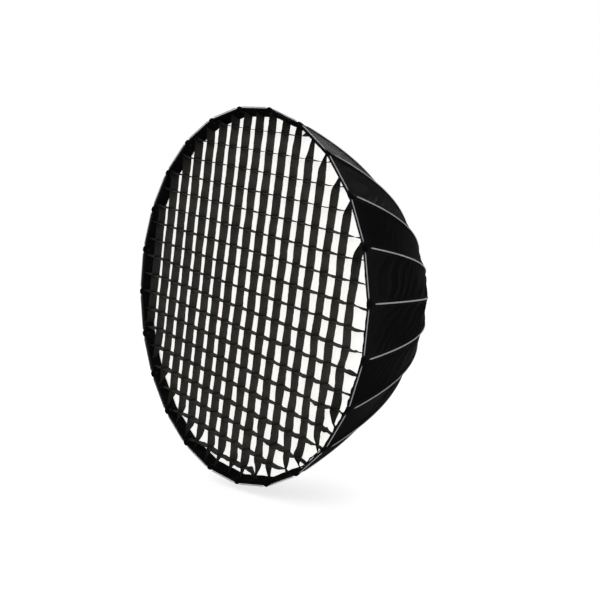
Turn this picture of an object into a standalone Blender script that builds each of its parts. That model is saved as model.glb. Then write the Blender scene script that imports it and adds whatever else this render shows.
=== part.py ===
"""Deep parabolic octabox: a folding softbox with twenty-four ribs, a hub and a rotating bayonet ring.

Run with blender --background --python part.py, or from Blender's text editor.
Units are metres and +Z is up. The optical axis is Y and the front opening faces -Y.
The origin is the centre of the object's box, on the optical axis. Below, y is counted from the
bayonet ring's rear mounting face, which the "mount_face" empty carries to its place.
Places around the axis are given as an angle from +Z towards +X.
"""

import math

import bmesh
import bpy
from mathutils import Matrix, Vector

# Whole object
RIM_RADIUS = 0.750  # axis to a corner of the front rim
DEPTH = 0.860  # mounting face to the front rim
RIBS = 24
RIB_STEP = 2 * math.pi / RIBS
FOLD = math.radians(38)  # turn of each rib from open to folded
GAP = 0.0003  # between pieces that touch

# Fabric outline in a rib's plane, as (radius, y) control points from hub to rim
FABRIC_HUB = (0.118, -0.0245)
FABRIC_REAR_CONTROL = (0.449, -0.110)
FABRIC_FRONT_CONTROL = (0.627, -0.464)
FABRIC_RIM = (RIM_RADIUS, -DEPTH)
FABRIC_STEPS = 10
ROD_STEPS = 7
FABRIC_THICKNESS = 0.0015

# Ribs
PIVOT_RADIUS = 0.098
PIVOT_Y = -0.030
ROD_RADIUS = 0.003
ROD_INSET = 0.008  # rod's centre line inside the fabric's outer face
ROD_END = 0.988  # where the rod stops along the fabric outline
KNUCKLE_RADIUS = 0.0055
KNUCKLE_WIDTH = 0.0062
EYE_RADIUS = 0.0020
HEEL_LENGTH = 0.017  # pivot to heel roller
HEEL_THICKNESS = 0.0020
HEEL_WIDTH = 0.0050
ROLLER_RADIUS = 0.0018
TIP_RADIUS = 0.0048
TIP_LENGTH = 0.016

# Hub ring
BORE_RADIUS = 0.0645
SLEEVE_INNER = 0.0715
SLEEVE_OUTER = 0.0745
SLEEVE_FRONT = -0.0620
RIM_INNER = 0.0880
HUB_RADIUS = 0.1120
HUB_REAR = -0.0065
WEB_FRONT = -0.0165
HUB_FRONT = -0.0380
SLOT_WIDTH = 0.0072
SLOT_REAR = -0.0235
WIRE_RADIUS = 0.0015
GROOVE_INNER = 0.0960
GROOVE_OUTER = 0.1008
ROUND_STEPS = 48
SLIDE_STEPS = 36

# Cover ring over the hinge wire
COVER_THICKNESS = 0.0040
COVER_REAR = HUB_FRONT - GAP
COVER_FRONT = COVER_REAR - COVER_THICKNESS
NOTCH_INNER = 0.0905
COVER_SCREWS = 4
COVER_SCREW_RADIUS = 0.1055

# Bayonet ring
OPENING_RADIUS = 0.0500
BARREL_RADIUS = 0.0585
BARREL_LENGTH = 0.0140
FLANGE_RADIUS = 0.0750
FLANGE_THICKNESS = 0.0060
NECK_RADIUS = 0.0640
NECK_FRONT = -0.0172
LUGS = 3
LUG_HEIGHT = 0.0065
LUG_WIDTH = 0.026
LUG_REAR = 0.0125
LUG_THICKNESS = 0.0045

# Retaining ring
RETAINER_INNER = 0.0510
RETAINER_OUTER = 0.0700
RETAINER_REAR = NECK_FRONT - GAP
RETAINER_THICKNESS = 0.0040
RETAINER_SCREWS = 3
RETAINER_SCREW_RADIUS = 0.0575

# Screws
SHANK_RADIUS = 0.0015
SHANK_HOLE = 0.0019
SHANK_LENGTH = 0.0100
HEAD_RADIUS = 0.0030
HEAD_HEIGHT = 0.0022
SOCKET_RADIUS = 0.0013

# Slide ring that turns all ribs together
SLIDE_INNER = 0.0750
SLIDE_FLOOR = 0.0785
SLIDE_FLANGE = 0.0838
SLIDE_WALL = 0.0025
LIP_RADIUS = 0.0903
LIP_REAR = -0.0560
LIP_FRONT = -0.0600

# Release latches on the cover ring
LATCHES = 2
LATCH_ANGLE = math.radians(97.5)
LATCH_PIVOT_RADIUS = 0.0945
LATCH_PIVOT_Y = -0.0470
LATCH_WIDTH = 0.0100

# Rotation lock
LOCK_ANGLE = math.radians(187.5)
LOCK_Y = -0.0115
STUD_RADIUS = 0.0025
STUD_END = 0.1250
KNOB_START = 0.1165
KNOB_LENGTH = 0.0160
KNOB_RADIUS = 0.0090
KNOB_FLUTES = 8

# Soft parts
CUFF_THICKNESS = 0.0025
CUFF_REAR = -0.0165
CUFF_FRONT = -0.0275
LIP_FABRIC_RIM = 0.7350
LIP_FABRIC_BACK = 0.7240
LIP_FABRIC_BACK_Y = -0.8190
DIFFUSER_RADIUS = 0.7170
DIFFUSER_Y = -0.8135
BAFFLE_RADIUS = 0.3400
BAFFLE_Y = -0.4600
BAFFLE_SIDES = 8
STRAP_WIDTH = 0.020
STRAP_CLEARANCE = 0.008
SHEET_THICKNESS = 0.0015
GRID_OUTER = 0.7190
GRID_INNER = 0.7075
GRID_FRONT = -0.8570
GRID_DEPTH = 0.0400
GRID_TURN = math.radians(10.5)
GRID_PITCH = 0.240  # every third strip of the real cloth grid
GRID_STRIP = 0.0020

TO_AXIS_Y = Matrix.Rotation(-math.pi / 2, 4, "X")  # turns a shape made along Z to lie along Y


def clear_scene():
    for obj in list(bpy.data.objects):
        bpy.data.objects.remove(obj, do_unlink=True)


def new_collection(name, hidden=False):
    collection = bpy.data.collections.new(name)
    collection.hide_render = hidden
    bpy.context.scene.collection.children.link(collection)
    return collection


def new_material(name, color, roughness, metallic=0.0):
    material = bpy.data.materials.new(name)
    material.use_nodes = True
    shader = material.node_tree.nodes["Principled BSDF"]
    shader.inputs["Base Color"].default_value = (*color, 1.0)
    shader.inputs["Roughness"].default_value = roughness
    shader.inputs["Metallic"].default_value = metallic
    return material


clear_scene()
PARTS = new_collection("octabox")
CUTTERS = new_collection("cutters", hidden=True)


def around(angle):
    """Turn about the optical axis that takes +Z to the given angle towards +X."""
    return Matrix.Rotation(angle, 4, "Y")


def add_object(name, mesh, collection=PARTS):
    obj = bpy.data.objects.new(name, mesh)
    collection.objects.link(obj)
    if collection is CUTTERS:
        obj.hide_render = True
        obj.display_type = "WIRE"
    return obj


def mesh_object(name, build, collection=PARTS):
    """An object whose mesh is filled in by build(bm)."""
    bm = bmesh.new()
    build(bm)
    mesh = bpy.data.meshes.new(name)
    bm.to_mesh(mesh)
    bm.free()
    return add_object(name, mesh, collection)


def add_box(bm, low, high, place=Matrix()):
    low = Vector(low)
    high = Vector(high)
    sizes = Matrix.Diagonal((*(high - low), 1.0))
    middle = Matrix.Translation((low + high) / 2)
    bmesh.ops.create_cube(bm, size=1.0, matrix=place @ middle @ sizes)


def add_cylinder(bm, radius, length, place, steps):
    """A cylinder along the local Z of place, centred on it."""
    bmesh.ops.create_cone(
        bm,
        cap_ends=True,
        segments=steps,
        radius1=radius,
        radius2=radius,
        depth=length,
        matrix=place,
    )


def across(x, y, z):
    """Place for a cylinder along X, centred on the point."""
    return Matrix.Translation((x, y, z)) @ Matrix.Rotation(math.pi / 2, 4, "Y")


def along_axis(x, y, z):
    """Place for a cylinder along Y, centred on the point."""
    return Matrix.Translation((x, y, z)) @ TO_AXIS_Y


def signed_area(points):
    total = 0.0
    for (r0, y0), (r1, y1) in zip(points, points[1:] + points[:1]):
        total += r0 * y1 - r1 * y0
    return total / 2


def lathe(name, profile, steps=ROUND_STEPS):
    """A ring turned about Y from a closed profile of (radius, y) points."""
    if signed_area(profile) > 0:
        profile = profile[::-1]

    def build(bm):
        corners = [bm.verts.new((radius, 0.0, y)) for radius, y in profile]
        for first, second in zip(corners, corners[1:] + corners[:1]):
            bm.edges.new((first, second))

    obj = mesh_object(name, build)
    screw = obj.modifiers.new("turn", "SCREW")
    screw.axis = "Z"
    screw.steps = steps
    screw.render_steps = steps
    screw.use_merge_vertices = True
    screw.merge_threshold = 0.0001
    obj.matrix_world = TO_AXIS_Y
    return obj


def combine(obj, other, operation):
    boolean = obj.modifiers.new(operation.lower(), "BOOLEAN")
    boolean.operation = operation
    boolean.object = other
    boolean.solver = "EXACT"


def settle(obj, material, smooth_angle=math.radians(35)):
    """Bakes the modifiers into the mesh, drops the tools they used and shades the piece."""
    bpy.context.view_layer.update()
    tools = [modifier.object for modifier in obj.modifiers if modifier.type == "BOOLEAN"]
    evaluated = obj.evaluated_get(bpy.context.evaluated_depsgraph_get())
    mesh = bpy.data.meshes.new_from_object(evaluated)
    mesh.name = obj.name
    obj.modifiers.clear()
    obj.data = mesh
    mesh.materials.clear()
    mesh.materials.append(material)
    mesh.shade_smooth()
    mesh.set_sharp_from_angle(angle=smooth_angle)
    for tool in set(tools):
        bpy.data.objects.remove(tool, do_unlink=True)
    return obj


def bezier(t, p0, p1, p2, p3):
    s = 1 - t
    weights = (s**3, 3 * s * s * t, 3 * s * t * t, t**3)
    return tuple(sum(w * p[i] for w, p in zip(weights, (p0, p1, p2, p3))) for i in (0, 1))


def fabric_point(t):
    return bezier(t, FABRIC_HUB, FABRIC_REAR_CONTROL, FABRIC_FRONT_CONTROL, FABRIC_RIM)


def inside_fabric(t, inset):
    """The point at t along the fabric outline, moved inwards at right angles to it."""
    step = 0.001
    r0, y0 = fabric_point(max(t - step, 0.0))
    r1, y1 = fabric_point(min(t + step, 1.0))
    length = math.hypot(r1 - r0, y1 - y0)
    normal_r = (y1 - y0) / length
    normal_y = -(r1 - r0) / length
    r, y = fabric_point(t)
    return r + inset * normal_r, y + inset * normal_y


def even_steps(count):
    return [i / count for i in range(count + 1)]


def fabric_parameter_at(y):
    """Where the fabric outline crosses the plane at this y."""
    low, high = 0.0, 1.0
    while high - low > 1e-6:
        middle = (low + high) / 2
        if fabric_point(middle)[1] > y:
            low = middle
        else:
            high = middle
    return low


# Ribs


def rod_points():
    """The rod's centre line from the pivot to the tip, as (y, z) from the pivot."""
    points = [(0.0, 0.0)]
    for t in even_steps(ROD_STEPS):
        r, y = inside_fabric(t * ROD_END, ROD_INSET)
        points.append((y - PIVOT_Y, r - PIVOT_RADIUS))
    return points


def make_rod():
    curve = bpy.data.curves.new("rod", "CURVE")
    curve.dimensions = "3D"
    curve.bevel_depth = ROD_RADIUS
    curve.bevel_resolution = 1
    curve.use_fill_caps = True
    points = rod_points()
    spline = curve.splines.new("POLY")
    spline.points.add(len(points) - 1)
    for point, (y, z) in zip(spline.points, points):
        point.co = (0.0, y, z, 1.0)
    guide = add_object("rod_guide", curve, CUTTERS)
    bpy.context.view_layer.update()
    evaluated = guide.evaluated_get(bpy.context.evaluated_depsgraph_get())
    mesh = bpy.data.meshes.new_from_object(evaluated)
    bm = bmesh.new()
    bm.from_mesh(mesh)
    bmesh.ops.remove_doubles(bm, verts=bm.verts, dist=1e-6)
    bm.to_mesh(mesh)
    bm.free()
    bpy.data.objects.remove(guide, do_unlink=True)
    return add_object("rod", mesh, CUTTERS)


def make_rib_mesh(material):
    """Rod, knuckle, heel lever and tip cap as one piece, with the pivot at the origin and outwards +Z."""
    heel_tilt = Matrix.Rotation(-FOLD / 2, 4, "X")  # forward when open, as far back when folded

    def knuckle(bm):
        add_cylinder(bm, KNUCKLE_RADIUS, KNUCKLE_WIDTH, across(0, 0, 0), 10)

    def heel(bm):
        half = HEEL_WIDTH / 2
        low = (-half, -HEEL_THICKNESS / 2, -HEEL_LENGTH)
        add_box(bm, low, (half, HEEL_THICKNESS / 2, 0.0), heel_tilt)

    def roller(bm):
        place = heel_tilt @ across(0, 0, -HEEL_LENGTH)
        add_cylinder(bm, ROLLER_RADIUS, HEEL_WIDTH - 0.0004, place, 6)

    def tip(bm):
        (y0, z0), (y1, z1) = rod_points()[-2:]
        direction = Vector((0.0, y1 - y0, z1 - z0)).normalized()
        end = Vector((0.0, y1, z1))
        turn = direction.to_track_quat("Z", "Y").to_matrix().to_4x4()
        middle = end - direction * (TIP_LENGTH / 2 - 0.001)
        add_cylinder(bm, TIP_RADIUS, TIP_LENGTH, Matrix.Translation(middle) @ turn, 6)

    def eye(bm):
        add_cylinder(bm, EYE_RADIUS, 4 * KNUCKLE_WIDTH, across(0, 0, 0), 8)

    rib = mesh_object("rib_shape", knuckle)
    combine(rib, mesh_object("heel", heel, CUTTERS), "UNION")
    combine(rib, mesh_object("roller", roller, CUTTERS), "UNION")
    combine(rib, make_rod(), "UNION")
    combine(rib, mesh_object("tip", tip, CUTTERS), "UNION")
    combine(rib, mesh_object("eye", eye, CUTTERS), "DIFFERENCE")
    settle(rib, material)
    mesh = rib.data
    bpy.data.objects.remove(rib, do_unlink=True)
    return mesh


def make_ribs(material):
    mesh = make_rib_mesh(material)
    for number in range(RIBS):
        angle = number * RIB_STEP
        rib = add_object(f"rib_{number + 1:02d}", mesh)
        turn = around(angle)
        rib.matrix_world = turn @ Matrix.Translation((0.0, PIVOT_Y, PIVOT_RADIUS))


# Hub


def slots(width, inner, rear, front):
    """Cutter with one radial slot at each rib, open to the outside."""

    def build(bm):
        for number in range(RIBS):
            place = around(number * RIB_STEP)
            low = (-width / 2, front, inner)
            add_box(bm, low, (width / 2, rear, HUB_RADIUS + 0.01), place)

    return mesh_object("slots", build, CUTTERS)


def holes_along_axis(radius, ring_radius, count, first_angle, rear, front, steps=10):
    """Cutter with round holes parallel to the axis, spaced evenly on a circle."""

    def build(bm):
        for number in range(count):
            place = around(first_angle + number * 2 * math.pi / count)
            middle = (rear + front) / 2
            add_cylinder(bm, radius, rear - front, place @ along_axis(0, middle, ring_radius), steps)

    return mesh_object("holes", build, CUTTERS)


def make_hub_ring(material):
    profile = [
        (BORE_RADIUS, HUB_REAR),
        (HUB_RADIUS, HUB_REAR),
        (HUB_RADIUS, HUB_FRONT),
        (GROOVE_OUTER, HUB_FRONT),
        (GROOVE_OUTER, PIVOT_Y + WIRE_RADIUS + GAP),
        (GROOVE_INNER, PIVOT_Y + WIRE_RADIUS + GAP),
        (GROOVE_INNER, HUB_FRONT),
        (RIM_INNER, HUB_FRONT),
        (RIM_INNER, WEB_FRONT),
        (SLEEVE_OUTER, WEB_FRONT),
        (SLEEVE_OUTER, SLEEVE_FRONT),
        (SLEEVE_INNER, SLEEVE_FRONT),
        (SLEEVE_INNER, WEB_FRONT),
        (BORE_RADIUS, WEB_FRONT),
    ]
    hub = lathe("hub_ring", profile)
    slot_inner = (RIM_INNER + SLIDE_FLANGE) / 2
    combine(hub, slots(SLOT_WIDTH, slot_inner, SLOT_REAR, HUB_FRONT - 0.01), "DIFFERENCE")
    screw_holes = holes_along_axis(
        SHANK_HOLE,
        COVER_SCREW_RADIUS,
        COVER_SCREWS,
        RIB_STEP / 2,
        COVER_FRONT + SHANK_LENGTH + 0.001,
        HUB_FRONT - 0.01,
    )
    combine(hub, screw_holes, "DIFFERENCE")

    def lock_bore(bm):
        middle = (BORE_RADIUS + HUB_RADIUS) / 2
        place = around(LOCK_ANGLE) @ Matrix.Translation((0, LOCK_Y, middle))
        add_cylinder(bm, STUD_RADIUS + GAP, HUB_RADIUS - BORE_RADIUS + 0.02, place, 12)

    combine(hub, mesh_object("lock_bore", lock_bore, CUTTERS), "DIFFERENCE")
    return settle(hub, material)


def make_hinge_wire(material):
    """One closed wire, straight where it passes through each rib's eye."""
    curve = bpy.data.curves.new("hinge_wire", "CURVE")
    curve.dimensions = "3D"
    curve.bevel_depth = WIRE_RADIUS
    curve.bevel_resolution = 1
    spline = curve.splines.new("POLY")
    spline.points.add(RIBS - 1)
    spline.use_cyclic_u = True
    corner = PIVOT_RADIUS / math.cos(RIB_STEP / 2)
    for number, point in enumerate(spline.points):
        place = around((number + 0.5) * RIB_STEP) @ Vector((0.0, PIVOT_Y, corner))
        point.co = (*place, 1.0)
    wire = add_object("hinge_wire", curve)
    bpy.context.view_layer.update()
    evaluated = wire.evaluated_get(bpy.context.evaluated_depsgraph_get())
    mesh = bpy.data.meshes.new_from_object(evaluated)
    bpy.data.objects.remove(wire, do_unlink=True)
    wire = add_object("hinge_wire", mesh)
    return settle(wire, material)


def latch_place(number):
    return around(LATCH_ANGLE + number * 2 * math.pi / LATCHES)


def make_cover_ring(material):
    tongue_front = PIVOT_Y - WIRE_RADIUS - GAP
    profile = [
        (RIM_INNER, COVER_REAR),
        (GROOVE_INNER + GAP, COVER_REAR),
        (GROOVE_INNER + GAP, tongue_front),
        (GROOVE_OUTER - GAP, tongue_front),
        (GROOVE_OUTER - GAP, COVER_REAR),
        (HUB_RADIUS, COVER_REAR),
        (HUB_RADIUS, COVER_FRONT),
        (RIM_INNER, COVER_FRONT),
    ]
    cover = lathe("cover_ring", profile)
    combine(cover, slots(SLOT_WIDTH, NOTCH_INNER, HUB_REAR, COVER_FRONT - 0.01), "DIFFERENCE")
    screw_holes = holes_along_axis(
        SHANK_HOLE,
        COVER_SCREW_RADIUS,
        COVER_SCREWS,
        RIB_STEP / 2,
        COVER_REAR + 0.01,
        COVER_FRONT - 0.01,
    )
    combine(cover, screw_holes, "DIFFERENCE")

    def ears(bm):
        inner = LATCH_WIDTH / 2 + 0.0005
        outer = inner + 0.0025
        for number in range(LATCHES):
            for side in (-1, 1):
                x0, x1 = sorted((side * inner, side * outer))
                low = (x0, LATCH_PIVOT_Y - 0.003, LATCH_PIVOT_RADIUS - 0.003)
                high = (x1, COVER_FRONT + 0.001, LATCH_PIVOT_RADIUS + 0.003)
                add_box(bm, low, high, latch_place(number))

    def trunnion_holes(bm):
        for number in range(LATCHES):
            place = latch_place(number) @ across(0, LATCH_PIVOT_Y, LATCH_PIVOT_RADIUS)
            add_cylinder(bm, 0.0016, 2 * LATCH_WIDTH, place, 10)

    combine(cover, mesh_object("ears", ears, CUTTERS), "UNION")
    combine(cover, mesh_object("trunnion_holes", trunnion_holes, CUTTERS), "DIFFERENCE")
    return settle(cover, material)


def make_latches(material):
    """Spring levers whose noses hold the slide ring's lip forward."""

    def lever(bm):
        half = LATCH_WIDTH / 2
        add_box(bm, (-half, -0.0170, -0.0008), (half, 0.0025, 0.0008))

    def nose(bm):
        half = LATCH_WIDTH / 2
        inwards = LIP_RADIUS + 0.0004 - LATCH_PIVOT_RADIUS
        nose_front = LIP_REAR + 0.0004 - LATCH_PIVOT_Y
        add_box(bm, (-half, nose_front, inwards), (half, nose_front + 0.0022, 0.0))

    def trunnion(bm):
        add_cylinder(bm, 0.0012, LATCH_WIDTH + 0.0056, across(0, 0, 0), 10)

    latch = mesh_object("latch_shape", lever)
    combine(latch, mesh_object("nose", nose, CUTTERS), "UNION")
    combine(latch, mesh_object("trunnion", trunnion, CUTTERS), "UNION")
    settle(latch, material)
    mesh = latch.data
    bpy.data.objects.remove(latch, do_unlink=True)
    for number in range(LATCHES):
        latch = add_object(f"latch_{number + 1}", mesh)
        pivot = Matrix.Translation((0.0, LATCH_PIVOT_Y, LATCH_PIVOT_RADIUS))
        latch.matrix_world = latch_place(number) @ pivot


def make_screw_mesh(material):
    """A socket-head screw along Y with the underside of its head at the origin."""

    def shank(bm):
        add_cylinder(bm, SHANK_RADIUS, SHANK_LENGTH, along_axis(0, SHANK_LENGTH / 2, 0), 10)

    def head(bm):
        add_cylinder(bm, HEAD_RADIUS, HEAD_HEIGHT, along_axis(0, -HEAD_HEIGHT / 2, 0), 14)

    def socket(bm):
        add_cylinder(bm, SOCKET_RADIUS, HEAD_HEIGHT, along_axis(0, -HEAD_HEIGHT, 0), 6)

    screw = mesh_object("screw_shape", head)
    combine(screw, mesh_object("shank", shank, CUTTERS), "UNION")
    combine(screw, mesh_object("socket", socket, CUTTERS), "DIFFERENCE")
    settle(screw, material)
    mesh = screw.data
    bpy.data.objects.remove(screw, do_unlink=True)
    return mesh


def place_screws(name, mesh, count, ring_radius, first_angle, face_y):
    for number in range(count):
        screw = add_object(f"{name}_{number + 1}", mesh)
        turn = around(first_angle + number * 2 * math.pi / count)
        screw.matrix_world = turn @ Matrix.Translation((0.0, face_y - GAP, ring_radius))


def make_slide_ring(material):
    groove_y = PIVOT_Y - HEEL_LENGTH * math.sin(FOLD / 2)
    half_groove = ROLLER_RADIUS + 0.0004
    profile = [
        (SLIDE_INNER, groove_y + half_groove + SLIDE_WALL),
        (SLIDE_FLANGE, groove_y + half_groove + SLIDE_WALL),
        (SLIDE_FLANGE, groove_y + half_groove),
        (SLIDE_FLOOR, groove_y + half_groove),
        (SLIDE_FLOOR, groove_y - half_groove),
        (SLIDE_FLANGE, groove_y - half_groove),
        (SLIDE_FLANGE, groove_y - half_groove - SLIDE_WALL),
        (SLIDE_FLOOR, groove_y - half_groove - SLIDE_WALL),
        (SLIDE_FLOOR, LIP_REAR),
        (LIP_RADIUS, LIP_REAR),
        (LIP_RADIUS, LIP_FRONT),
        (SLIDE_INNER, LIP_FRONT),
    ]
    return settle(lathe("slide_ring", profile, SLIDE_STEPS), material)


# Mount


def make_bayonet_ring(material):
    profile = [
        (OPENING_RADIUS, BARREL_LENGTH),
        (BARREL_RADIUS, BARREL_LENGTH),
        (BARREL_RADIUS, 0.0),
        (FLANGE_RADIUS, 0.0),
        (FLANGE_RADIUS, -FLANGE_THICKNESS),
        (NECK_RADIUS, -FLANGE_THICKNESS),
        (NECK_RADIUS, NECK_FRONT),
        (OPENING_RADIUS, NECK_FRONT),
    ]
    ring = lathe("bayonet_ring", profile)

    def lugs(bm):
        for number in range(LUGS):
            low = (-LUG_WIDTH / 2, LUG_REAR - LUG_THICKNESS, OPENING_RADIUS + 0.005)
            high = (LUG_WIDTH / 2, LUG_REAR, BARREL_RADIUS + LUG_HEIGHT)
            add_box(bm, low, high, around(number * 2 * math.pi / LUGS))

    combine(ring, mesh_object("lugs", lugs, CUTTERS), "UNION")
    screw_holes = holes_along_axis(
        SHANK_HOLE,
        RETAINER_SCREW_RADIUS,
        RETAINER_SCREWS,
        RIB_STEP,
        RETAINER_REAR - RETAINER_THICKNESS + SHANK_LENGTH + 0.001,
        NECK_FRONT - 0.01,
    )
    combine(ring, screw_holes, "DIFFERENCE")
    return settle(ring, material)


def make_retaining_ring(material):
    front = RETAINER_REAR - RETAINER_THICKNESS
    profile = [
        (RETAINER_INNER, RETAINER_REAR),
        (RETAINER_OUTER, RETAINER_REAR),
        (RETAINER_OUTER, front),
        (RETAINER_INNER, front),
    ]
    ring = lathe("retaining_ring", profile)
    screw_holes = holes_along_axis(
        SHANK_HOLE,
        RETAINER_SCREW_RADIUS,
        RETAINER_SCREWS,
        RIB_STEP,
        RETAINER_REAR + 0.01,
        front - 0.01,
    )
    combine(ring, screw_holes, "DIFFERENCE")
    return settle(ring, material)


def make_rotation_lock(knob_material, stud_material):
    """A thumbscrew between two ribs that clamps the bayonet ring's neck."""
    place = around(LOCK_ANGLE) @ Matrix.Translation((0.0, LOCK_Y, 0.0))

    def stud(bm):
        start = NECK_RADIUS + 0.0005
        middle = Matrix.Translation((0, 0, (start + STUD_END) / 2))
        add_cylinder(bm, STUD_RADIUS, STUD_END - start, middle, 12)

    def grip(bm):
        middle = Matrix.Translation((0, 0, KNOB_START + KNOB_LENGTH / 2))
        add_cylinder(bm, KNOB_RADIUS, KNOB_LENGTH, middle, 24)

    def flutes(bm):
        for number in range(KNOB_FLUTES):
            angle = number * 2 * math.pi / KNOB_FLUTES
            x = (KNOB_RADIUS + 0.0012) * math.cos(angle)
            y = (KNOB_RADIUS + 0.0012) * math.sin(angle)
            middle = Matrix.Translation((x, y, KNOB_START + KNOB_LENGTH / 2 + 0.003))
            add_cylinder(bm, 0.0025, KNOB_LENGTH, middle, 8)

    def socket(bm):
        depth = STUD_END - KNOB_START + GAP
        middle = Matrix.Translation((0, 0, KNOB_START + depth / 2 - 0.001))
        add_cylinder(bm, STUD_RADIUS + GAP, depth + 0.002, middle, 12)

    screw = mesh_object("lock_screw", stud)
    settle(screw, stud_material)
    screw.matrix_world = place
    knob = mesh_object("lock_knob", grip)
    combine(knob, mesh_object("flutes", flutes, CUTTERS), "DIFFERENCE")
    combine(knob, mesh_object("socket", socket, CUTTERS), "DIFFERENCE")
    settle(knob, knob_material)
    knob.matrix_world = place


# Soft parts


def make_outer_shell(material):
    outside = [fabric_point(t) for t in even_steps(FABRIC_STEPS)]
    inside = [inside_fabric(t, FABRIC_THICKNESS) for t in even_steps(FABRIC_STEPS)]
    inside[-1] = (inside[-1][0], -DEPTH)
    return settle(lathe("outer_shell", outside + inside[::-1], RIBS), material)


def make_rear_cuff(material):
    inner = HUB_RADIUS + 2 * GAP
    profile = [
        (inner, CUFF_REAR),
        (inner + CUFF_THICKNESS, CUFF_REAR),
        (inner + CUFF_THICKNESS, CUFF_FRONT),
        (inner, CUFF_FRONT),
    ]
    return settle(lathe("rear_cuff", profile), material)


def make_front_lip(material):
    """The black band that runs back inside the rim, in front of the diffuser."""
    front = -DEPTH + 0.001
    profile = [
        (LIP_FABRIC_RIM, front),
        (LIP_FABRIC_BACK, LIP_FABRIC_BACK_Y),
        (LIP_FABRIC_BACK - FABRIC_THICKNESS, LIP_FABRIC_BACK_Y),
        (LIP_FABRIC_RIM - FABRIC_THICKNESS, front),
    ]
    return settle(lathe("front_lip", profile, RIBS), material)


def make_sheet(name, radius, y, sides, material):
    def build(bm):
        add_cylinder(bm, radius, SHEET_THICKNESS, along_axis(0, y, 0), sides)

    return settle(mesh_object(name, build), material)


def make_baffle_straps(material):
    """Elastic straps from the corners of the inner baffle to every third rib."""
    rod_radius = inside_fabric(fabric_parameter_at(BAFFLE_Y), ROD_INSET + ROD_RADIUS)[0]
    for number in range(BAFFLE_SIDES):

        def build(bm):
            low = (-STRAP_WIDTH / 2, BAFFLE_Y - 0.0006, BAFFLE_RADIUS + GAP)
            add_box(bm, low, (STRAP_WIDTH / 2, BAFFLE_Y + 0.0006, rod_radius - STRAP_CLEARANCE))

        strap = mesh_object(f"baffle_strap_{number + 1}", build)
        settle(strap, material)
        strap.matrix_world = around(number * 2 * math.pi / BAFFLE_SIDES)


def make_grid(material):
    """Cloth egg-crate grid: a border band with upright strips both ways."""
    back = GRID_FRONT + GRID_DEPTH
    profile = [
        (GRID_INNER, back),
        (GRID_OUTER, back),
        (GRID_OUTER, GRID_FRONT),
        (GRID_INNER, GRID_FRONT),
    ]
    grid = lathe("grid", profile, RIBS)
    end_radius = GRID_OUTER * math.cos(RIB_STEP / 2) - 0.003
    count = int(end_radius / GRID_PITCH - 0.25)

    def strips(turn):
        def build(bm):
            for number in range(-count, count + 1):
                x = number * GRID_PITCH
                half = math.sqrt(end_radius**2 - (abs(x) + GRID_STRIP) ** 2)
                low = (x - GRID_STRIP / 2, GRID_FRONT + 0.0005, -half)
                high = (x + GRID_STRIP / 2, back - 0.0005, half)
                add_box(bm, low, high, around(turn))

        return mesh_object("strips", build, CUTTERS)

    combine(grid, strips(GRID_TURN), "UNION")
    combine(grid, strips(GRID_TURN + math.pi / 2), "UNION")
    return settle(grid, material)


def place_on_mount_face():
    """Hangs every part on an empty at the mounting face, so that the box's centre is the origin."""
    empty = bpy.data.objects.new("mount_face", None)
    PARTS.objects.link(empty)
    empty.location = (0.0, (DEPTH - BARREL_LENGTH) / 2, 0.0)
    for obj in PARTS.objects:
        if obj is not empty:
            obj.parent = empty


def build_octabox():
    fibreglass = new_material("rib_black", (0.02, 0.02, 0.022), 0.35)
    cast_metal = new_material("hub_black", (0.03, 0.03, 0.032), 0.45, 0.4)
    steel = new_material("steel", (0.62, 0.62, 0.64), 0.3, 1.0)
    bayonet_metal = new_material("bayonet_silver", (0.70, 0.70, 0.72), 0.28, 1.0)
    plastic = new_material("plastic_black", (0.03, 0.03, 0.03), 0.5)
    latch_grey = new_material("latch_grey", (0.25, 0.25, 0.26), 0.4)
    black_fabric = new_material("shell_fabric", (0.018, 0.018, 0.02), 0.7)
    diffuser_white = new_material("diffuser_fabric", (0.88, 0.88, 0.86), 0.9)
    elastic = new_material("elastic", (0.05, 0.05, 0.05), 0.85)
    grid_fabric = new_material("grid_fabric", (0.045, 0.042, 0.038), 0.85)

    make_ribs(fibreglass)
    make_hub_ring(cast_metal)
    make_hinge_wire(steel)
    make_cover_ring(cast_metal)
    make_latches(latch_grey)
    make_slide_ring(plastic)
    screw = make_screw_mesh(steel)
    place_screws("cover_screw", screw, COVER_SCREWS, COVER_SCREW_RADIUS, RIB_STEP / 2, COVER_FRONT)
    make_bayonet_ring(bayonet_metal)
    make_retaining_ring(steel)
    retainer_front = RETAINER_REAR - RETAINER_THICKNESS
    place_screws(
        "retainer_screw", screw, RETAINER_SCREWS, RETAINER_SCREW_RADIUS, RIB_STEP, retainer_front
    )
    make_rotation_lock(plastic, steel)
    make_outer_shell(black_fabric)
    make_rear_cuff(black_fabric)
    make_front_lip(black_fabric)
    make_sheet("front_diffuser", DIFFUSER_RADIUS, DIFFUSER_Y, RIBS, diffuser_white)
    make_sheet("inner_baffle", BAFFLE_RADIUS, BAFFLE_Y, BAFFLE_SIDES, diffuser_white)
    make_baffle_straps(elastic)
    make_grid(grid_fabric)
    place_on_mount_face()


build_octabox()
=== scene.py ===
"""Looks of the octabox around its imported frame: cloth, trim, grid, hub finishes, light and camera.

The optical axis is Y, the front opening faces -Y and +Z is up. All lengths are metres.
Rib number 0 is at the top, and the others follow from +Z towards +X.
"""

import math
from dataclasses import dataclass

import bpy
import numpy as np
from mathutils import Matrix, Vector, noise


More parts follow.
